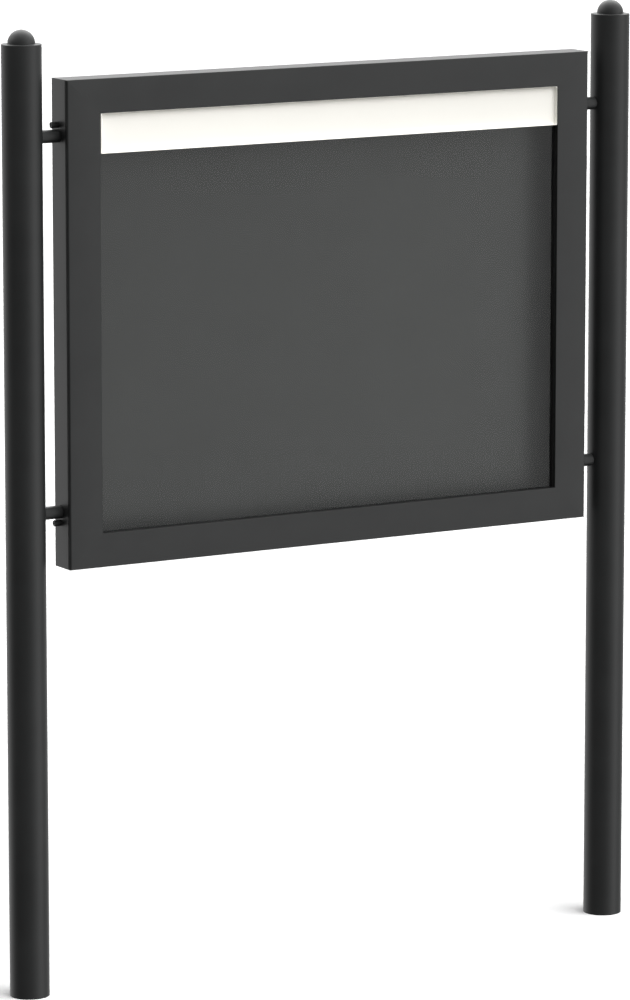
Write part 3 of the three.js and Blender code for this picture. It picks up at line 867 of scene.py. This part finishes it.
@dataclass
class DoorFrame:
    """The door's two stiles and two rails, with the corner keys inside them."""

    plate_mm: float = 6.0
    # The outer front edge: points in from the side and back from the face, each with its radius.
    stile_edge_mm: tuple[Corner, ...] = ((1.1, 1.6, 2.5), (3.0, 0.0, 2.5))
    rail_edge_mm: tuple[Corner, ...] = ((0.0, 0.0, 0.6),)
    back_round_mm: float = 0.5
    opening_round_mm: float = 0.6
    rebate_width_mm: float = 10.0
    rebate_depth_mm: float = 9.0
    leg_mm: float = 2.0
    key_ease_mm: float = 0.3

    def build(self) -> None:
        """Builds and dresses the four members and the four keys."""
        left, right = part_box("door_stile_lock"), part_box("door_stile_hinge")
        top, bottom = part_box("door_rail_top"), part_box("door_rail_bottom")
        width, height = right[1].x - left[0].x, top[1].z - bottom[0].z
        middle = (top[1].z + bottom[0].z) / 2
        stile = left[1].x - left[0].x
        upper, lower = top[1].z - top[0].z, bottom[1].z - bottom[0].z
        front, depth = left[0].y, left[1].y - left[0].y
        # Each member has its place in the frame, its length and the widths of its face, of the
        # member at its start and of the one at its end.
        members = (
            ("lock_stile", "stile_lock", Turn.LEFT, left[0].x, middle, height,
             (stile, lower, upper)),
            ("hinge_stile", "stile_hinge", Turn.RIGHT, right[1].x, middle, height,
             (stile, upper, lower)),
            ("top_rail", "rail_top", Turn.TOP, 0.0, top[1].z, width, (upper, stile, stile)),
            ("bottom_rail", "rail_bottom", Turn.BOTTOM, 0.0, bottom[0].z, width,
             (lower, stile, stile)),
        )
        for name, node, turn, x, z, length, (face, start_face, end_face) in members:
            upright = turn in (Turn.LEFT, Turn.RIGHT)
            outline = self.section(
                face, depth, self.stile_edge_mm if upright else self.rail_edge_mm,
            )
            rings = [
                [Vector((inward, back, end * (length / 2 - inward * next_face / face)))
                 for inward, back in outline]
                for end, next_face in ((-1, start_face), (1, end_face))
            ]
            place = Matrix.Translation((x, front, z)) @ Matrix.Rotation(turn.value, 4, "Y")
            member = skinned(f"door_{name}", [rings], closed=False, place=place)
            install(member, CASE_COAT, Body.DOOR, [f"door_{node}"])
        for level in Level:
            for side in Side:
                name = f"corner_key_{level.word}_{side.word}"
                install_eased(
                    f"inner_{name}", f"door_{name}", self.key_ease_mm, FITTING_ZINC, Body.DOOR,
                )

    def section(self, face: float, depth: float, edge_mm: Sequence[Corner]) -> list[Vector]:
        """Draws a member's section.

        Args:
            face: The width of its face.
            depth: Its whole depth.
            edge_mm: The corners of its outer front edge.

        Returns:
            Points as the distance in from the outer edge and back from the face.
        """
        plate, rebate = self.plate_mm * MM, face - self.rebate_width_mm * MM
        leg, shelf = rebate - self.leg_mm * MM, self.rebate_depth_mm * MM
        small = self.back_round_mm * MM
        edge = [(inward * MM, back * MM, radius * MM) for inward, back, radius in edge_mm]
        return filleted(
            [
                (0, plate, small), *edge, (face, 0, self.opening_round_mm * MM),
                (face, shelf, small), (rebate, shelf, 0), (rebate, depth, small),
                (leg, depth, small), (leg, plate, 0),
            ],
            closed=True,
        )


@dataclass
class Glazing:
    """The glass pane, the gasket round it and the beads that hold it."""

    arris_mm: float = 0.4
    gasket_ease_mm: float = 0.3
    bead_ease_mm: float = 0.5

    def build(self) -> None:
        """Builds and dresses the glazing."""
        install_eased(
            "float_glass_pane", "glass_pane", self.arris_mm, PANE_GLASS, Body.DOOR, steps=1,
        )
        install_eased(
            "glazing_channel_gasket", "glazing_gasket", self.gasket_ease_mm, SEAL_RUBBER,
            Body.DOOR,
        )
        # The beads take the coat darkened as painted shade, a shadow line round the glass.
        for place in ("left", "right", "bottom", "top"):
            install_eased(
                f"snap_in_bead_{place}", f"glazing_bead_{place}", self.bead_ease_mm, BEAD_COAT_WITH_PAINTED_SHADE,
                Body.DOOR,
            )


@dataclass
class HeaderTray:
    """The white header tray and the foam tapes that hold it to the glass."""

    sheet_mm: float = 1.5
    stile_gap_mm: float = 1.0
    lip_mm: float = 0.6
    lip_ease_mm: float = 0.25
    inner_corner_mm: float = 5.0
    outer_corner_mm: float = 1.0
    fillet_across_mm: float = 3.0
    fillet_steps: int = 8
    corner_steps: int = 8
    tape_ease_mm: float = 0.2

    def build(self) -> None:
        """Builds and dresses the tray and its tapes."""
        low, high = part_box("header_panel")
        low.x += self.stile_gap_mm * MM
        lip, ease = self.lip_mm * MM, self.lip_ease_mm * MM
        across = self.fillet_across_mm * MM
        floor = high.y - self.sheet_mm * MM
        wall = filleted(
            [(0, high.y, 0), (0, low.y, ease), (lip, low.y, ease), (lip, high.y, 0)],
            closed=False,
        )[:-1]
        for angle in quarter_angles(self.fillet_steps)[1:]:
            wall.append(Vector((
                lip + across * (1 - math.cos(angle)), floor - across * (1 - math.sin(angle)),
            )))
        rings = []
        for inset, y in wall:
            share = min(1.0, max(0.0, inset / lip))
            corner = self.outer_corner_mm + (self.inner_corner_mm - self.outer_corner_mm) * share
            radius = max(corner * MM - max(0.0, inset - lip), ease)
            corners = [(x, z, radius) for x, z in inset_corners(low, high, inset)]
            loop = filleted(corners, closed=True, steps=self.corner_steps)
            rings.append([Vector((x, y, z)) for x, z in loop])
        tray = skinned("white_header_tray", [rings], closed=False)
        install(tray, HEADER_PAINT, Body.DOOR, ["header_panel"])
        for level in Level:
            install_eased(
                f"foam_tape_{level.word}", f"header_tape_{level.word}", self.tape_ease_mm,
                TAPE_FOAM, Body.DOOR,
            )


@dataclass
class CamLock:
    """One of the two cam locks in the case's left side, with its keeper on the door."""

    level: Level
    barrel_step_mm: float = 1.0
    core_gap_mm: float = 0.3
    rim_ease_mm: float = 1.0
    mouth_ease_mm: float = 0.4
    small_ease_mm: float = 0.3

    def build(self) -> None:
        """Builds and dresses the lock's pieces and the keeper."""
        self.build_barrel()
        rotor = Body.UPPER_ROTOR if self.level is Level.UPPER else Body.LOWER_ROTOR
        parts = (
            ("key_core", "lock_core", LOCK_COAT, rotor),
            ("barrel_nut", "lock_nut", FITTING_ZINC, Body.STAND),
            ("flat_cam", "lock_cam", FITTING_ZINC, rotor),
            ("cam_screw", "lock_cam_screw", FITTING_ZINC, rotor),
            ("hooked_keeper", "door_keeper", FITTING_ZINC, Body.DOOR),
        )
        word = self.level.word
        for name, node, finish, body in parts:
            install_eased(f"{name}_{word}", f"{node}_{word}", self.small_ease_mm, finish, body)

    def build_barrel(self) -> None:
        """Builds the barrel, with a rounded rim and a bore for the core."""
        word = self.level.word
        low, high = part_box(f"lock_barrel_{word}")
        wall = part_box("case_side_left")[0].x
        core_low, core_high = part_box(f"lock_core_{word}")
        outer = (high.y - low.y) / 2
        neck = outer - self.barrel_step_mm * MM
        bore = (core_high.y - core_low.y) / 2 + self.core_gap_mm * MM
        outline = filleted(
            [
                (bore, low.x, self.mouth_ease_mm * MM), (outer, low.x, self.rim_ease_mm * MM),
                (outer, wall, 0), (neck, wall, 0), (neck, high.x, 0), (bore, high.x, 0),
            ],
            closed=True,
        )
        centre = Matrix.Translation((0, (low.y + high.y) / 2, (low.z + high.z) / 2))
        place = centre @ Matrix.Rotation(QUARTER, 4, "Y")
        barrel = turned(
            f"lock_barrel_shell_{word}", outline, place, closed=True, sides=ROD_SIDES,
        )
        install(barrel, LOCK_COAT, Body.STAND, [f"lock_barrel_{word}"])


@dataclass
class PinHinge:
    """One of the two hinges in the gap by the right-hand post."""

    level: Level
    leaf_ease_mm: float = 0.4
    pin_ease_mm: float = 0.5

    def build(self) -> None:
        """Builds and dresses both leaves and the pin."""
        parts = (
            ("case_hinge_leaf", "hinge_case_leaf", self.leaf_ease_mm, CASE_COAT, Body.STAND),
            ("door_hinge_leaf", "hinge_door_leaf", self.leaf_ease_mm, CASE_COAT, Body.DOOR),
            ("headed_hinge_pin", "hinge_pin", self.pin_ease_mm, FITTING_ZINC, Body.STAND),
        )
        word = self.level.word
        for name, node, ease_mm, finish, body in parts:
            install_eased(f"{name}_{word}", f"{node}_{word}", ease_mm, finish, body)


@dataclass(frozen=True)
class StudioFloor(Finish):
    """Seamless white paper: matt and almost pure white."""

    white: str = "#fdfdfd"
    # Paper fibres are far finer. They are drawn this coarse to be there at all.
    fibre: Grain = Grain(4.0, 2.0)

    def shade(self, tree: Tree) -> Socket:
        """Makes matt white paper with a trace of fibre.

        Args:
            tree: The empty node tree of the material.

        Returns:
            The shader that goes to the surface.
        """
        place = add_node(tree, "ShaderNodeTexCoord").outputs["Object"]
        fibre = add_node(tree, "ShaderNodeTexNoise", self.fibre.settings, {"Vector": place})
        colour = add_node(
            tree, "ShaderNodeMix",
            {"data_type": "RGBA", MIX_FIRST: linear(self.white), MIX_SECOND: linear("#ffffff")},
            {0: fibre.outputs["Fac"]},
        )
        return add_node(
            tree, "ShaderNodeBsdfDiffuse", links={"Color": colour.outputs[MIX_COLOUR]},
        ).outputs["BSDF"]


@dataclass(frozen=True)
class StudioWalls(Finish):
    """The studio as gloss shows it: even walls, a dark side by the camera, a wide lamp behind."""

    # Each stop is an azimuth in degrees, from the front towards the right, and a level where 1
    # is white. The walls' stops hold at eye level, the ring's higher up.
    walls: Stops = (
        (-180, 1.05), (-150, 1.06), (-132, 0.62), (-112, 0.24), (-95, 0.15), (-60, 0.2),
        (-28, 0.2), (-5, 0.30), (14, 0.60), (27, 0.91), (34, 1.14), (44, 1.4), (54, 1.15),
        (68, 0.54), (88, 0.20), (108, 0.6), (135, 1.0), (180, 1.05),
    )
    ring: Stops = (
        (-180, 2.2), (-137, 2.6), (-116, 1.7), (-93, 0.8), (-60, 0.25), (-30, 0.1), (0, 0.25),
        (33, 0.7), (56, 1.2), (77, 1.6), (106, 2.2), (128, 2.0), (150, 1.2), (170, 1.8),
        (180, 2.2),
    )
    # The elevations in degrees between which each zone takes over from the one before.
    ring_rise: Pair = (0.0, 40.0)
    ceiling_rise: Pair = (42.0, 72.0)
    floor_rise: Pair = (-30.0, -75.0)
    ceiling: float = 1.1
    floor: float = 0.6
    lamp: float = 2.3
    lamp_azimuth: float = 150.0
    lamp_elevation: float = 56.0
    # The lamp's soft edge, also as elevations, above the plane square to the lamp's direction.
    lamp_rise: Pair = (48.0, 76.0)

    def shade(self, tree: Tree) -> Socket:
        """Makes light whose brightness follows the direction from the tent's middle.

        Args:
            tree: The empty node tree of the material.

        Returns:
            The shader that goes to the surface.
        """
        place = add_node(tree, "ShaderNodeTexCoord").outputs["Object"]
        direction = add_node(
            tree, "ShaderNodeVectorMath", {"operation": "NORMALIZE"}, {0: place},
        ).outputs["Vector"]
        axes = add_node(tree, "ShaderNodeSeparateXYZ", links={0: direction})
        turn, rise = self.turn(tree, axes), axes.outputs["Z"]
        level = add_node(
            tree, "ShaderNodeMix", {"data_type": "FLOAT"},
            {0: self.share(tree, rise, self.ring_rise),
             MIX_LOW: self.level(tree, turn, self.walls),
             MIX_HIGH: self.level(tree, turn, self.ring)},
        )
        zones = ((self.ceiling, self.ceiling_rise), (self.floor, self.floor_rise))
        for zone, limits in zones:
            level = add_node(
                tree, "ShaderNodeMix", {"data_type": "FLOAT", MIX_HIGH: zone},
                {0: self.share(tree, rise, limits), MIX_LOW: level.outputs[0]},
            )
        lamp_centre = towards(self.lamp_azimuth, self.lamp_elevation)
        near = add_node(
            tree, "ShaderNodeVectorMath", {"operation": "DOT_PRODUCT", 1: lamp_centre},
            {0: direction},
        ).outputs["Value"]
        lit = add_node(
            tree, "ShaderNodeMath", {"operation": "MULTIPLY_ADD", 1: self.lamp},
            {0: self.share(tree, near, self.lamp_rise), 2: level.outputs[0]},
        )
        return add_node(
            tree, "ShaderNodeEmission", {"Color": linear("#ffffff")}, {"Strength": lit.outputs[0]},
        ).outputs["Emission"]

    def turn(self, tree: Tree, axes: bpy.types.Node) -> Socket:
        """Gives a direction's azimuth as a share of the whole turn, which starts at the back.

        Args:
            tree: The material's node tree.
            axes: The node that splits the direction.

        Returns:
            The share of the turn.
        """
        front = add_node(
            tree, "ShaderNodeMath", {"operation": "MULTIPLY", 1: -1.0}, {0: axes.outputs["Y"]},
        )
        azimuth = add_node(
            tree, "ShaderNodeMath", {"operation": "ARCTAN2"},
            {0: axes.outputs["X"], 1: front.outputs[0]},
        )
        return add_node(
            tree, "ShaderNodeMapRange", {"From Min": -math.pi, "From Max": math.pi},
            {"Value": azimuth.outputs[0]},
        ).outputs["Result"]

    def level(self, tree: Tree, turn: Socket, levels: Stops) -> Socket:
        """Gives the level at an azimuth.

        Args:
            tree: The material's node tree.
            turn: The azimuth as a share of the whole turn.
            levels: Azimuths in degrees with the level at each.

        Returns:
            The level.
        """
        ramp = add_node(tree, "ShaderNodeValToRGB", links={"Fac": turn})
        stops = ramp.color_ramp.elements
        while len(stops) < len(levels):
            stops.new(0.5)
        brightest = max(level for _, level in levels)
        for stop, (degrees, level) in zip(stops, levels):
            stop.position = (degrees + 180) / 360
            grey = level / brightest
            stop.color = (grey, grey, grey, 1.0)
        return add_node(
            tree, "ShaderNodeMath", {"operation": "MULTIPLY", 1: brightest},
            {0: ramp.outputs["Color"]},
        ).outputs[0]

    def share(self, tree: Tree, rise: Socket, limits: Pair) -> Socket:
        """Gives a share that grows smoothly from one elevation to another.

        Args:
            tree: The material's node tree.
            rise: The direction's height above the plane that the elevations start from.
            limits: The elevations in degrees where the share starts and where it is whole.

        Returns:
            The share.
        """
        low, high = (math.sin(math.radians(limit)) for limit in limits)
        return add_node(
            tree, "ShaderNodeMapRange",
            {"interpolation_type": "SMOOTHSTEP", "From Min": low, "From Max": high},
            {"Value": rise},
        ).outputs["Result"]


@dataclass(frozen=True)
class StudioFill:
    """Soft light from all round, strongest from the front right, that gloss doesn't show."""

    ambient: float = 0.13
    key: float = 3.9
    key_azimuth: float = 38.0
    key_elevation: float = 48.0
    key_focus: float = 3.0
    above: float = 0.15
    above_focus: float = 1.0

    def world(self) -> bpy.types.World:
        """Makes a world with the soft light, which is plain white to the camera and through glass.

        Returns:
            The world.
        """
        world = bpy.data.worlds.new("soft_white_light")
        world.use_nodes = True
        world.cycles_visibility.glossy = False
        tree = world.node_tree
        tree.nodes.clear()
        direction = add_node(tree, "ShaderNodeTexCoord").outputs["Generated"]
        lamps = (
            (towards(self.key_azimuth, self.key_elevation), self.key, self.key_focus),
            ((0.0, 0.0, 1.0), self.above, self.above_focus),
        )
        level: Socket | None = None
        for axis, strength, focus in lamps:
            near = add_node(
                tree, "ShaderNodeVectorMath", {"operation": "DOT_PRODUCT", 1: axis},
                {0: direction},
            )
            lit = add_node(
                tree, "ShaderNodeMath", {"operation": "MAXIMUM", 1: 0.0},
                {0: near.outputs["Value"]},
            )
            lobe = add_node(
                tree, "ShaderNodeMath", {"operation": "POWER", 1: focus}, {0: lit.outputs[0]},
            )
            before = {} if level is None else {2: level}
            level = add_node(
                tree, "ShaderNodeMath",
                {"operation": "MULTIPLY_ADD", 1: strength, 2: self.ambient},
                {0: lobe.outputs[0], **before},
            ).outputs[0]
        white = linear("#ffffff")
        soft = add_node(tree, "ShaderNodeBackground", {"Color": white}, {"Strength": level})
        plain = add_node(tree, "ShaderNodeBackground", {"Color": white, "Strength": 1.0})
        ray = add_node(tree, "ShaderNodeLightPath")
        seen_by = ray.outputs["Is Camera Ray"]
        for kind in ("Is Glossy Ray", "Is Transmission Ray"):
            seen_by = add_node(
                tree, "ShaderNodeMath", {"operation": "MAXIMUM"},
                {0: seen_by, 1: ray.outputs[kind]},
            ).outputs[0]
        seen = add_node(
            tree, "ShaderNodeMixShader",
            links={0: seen_by, 1: soft.outputs[0], 2: plain.outputs[0]},
        )
        add_node(tree, "ShaderNodeOutputWorld", links={"Surface": seen.outputs[0]})
        return world


@dataclass
class Studio:
    """The floor, the light and the camera."""

    floor_radius: float = 80.0
    tent_radius: float = 30.0
    tent_height: float = 0.9
    azimuth: float = -30.0
    elevation: float = 10.0
    distance_mm: float = 10785.9
    target_mm: Corner = (-21.13, 0.0, 904.23)
    lens_mm: float = 200.36
    sensor_mm: float = 36.0

    def build(self) -> None:
        """Builds the stage, the light and the camera."""
        self.build_floor()
        self.build_tent()
        bpy.context.scene.world = StudioFill().world()
        bpy.context.scene.view_settings.view_transform = "Standard"
        self.build_camera()

    def build_floor(self) -> None:
        """Builds a wide white floor, which only the camera sees, with the object's shadow on it."""
        work = bmesh.new()
        bmesh.ops.create_circle(
            work, cap_ends=True, segments=FINE_SIDES, radius=self.floor_radius,
        )
        floor = finished_object("studio_floor", work)
        floor.data.materials.append(StudioFloor("seamless_white_paper").material())
        floor.visible_glossy = False
        floor.visible_diffuse = False

    def build_tent(self) -> None:
        """Builds the walls that only gloss shows."""
        work = bmesh.new()
        bmesh.ops.create_uvsphere(
            work, u_segments=ROD_SIDES, v_segments=ROD_SIDES // 2, radius=self.tent_radius,
        )
        tent = finished_object("studio_tent", work)
        tent.location.z = self.tent_height
        tent.data.materials.append(StudioWalls("studio_walls").material())
        tent.visible_camera = False
        tent.visible_diffuse = False
        tent.visible_transmission = False
        tent.visible_shadow = False

    def build_camera(self) -> None:
        """Places the camera at the photograph's angle."""
        back = Vector(towards(self.azimuth, self.elevation))
        data = bpy.data.cameras.new("photo_camera")
        data.lens = self.lens_mm
        data.sensor_width = self.sensor_mm
        camera = bpy.data.objects.new("photo_camera", data)
        bpy.context.scene.collection.objects.link(camera)
        camera.location = (Vector(self.target_mm) + back * self.distance_mm) * MM
        camera.rotation_euler = (-back).to_track_quat("-Z", "Y").to_euler()
        bpy.context.scene.camera = camera


def main() -> None:
    """Builds the whole board and its studio."""
    logging.basicConfig(level=logging.INFO, format="%(message)s")
    assemblies = (
        Studio(), PostPair(), SpacerSet(), CaseShell(), DisplayBoard(), DoorFrame(), Glazing(),
        HeaderTray(), CamLock(Level.LOWER), PinHinge(Level.LOWER), CamLock(Level.UPPER),
        PinHinge(Level.UPPER),
    )
    for assembly in assemblies:
        assembly.build()


if __name__ == "__main__":
    main()
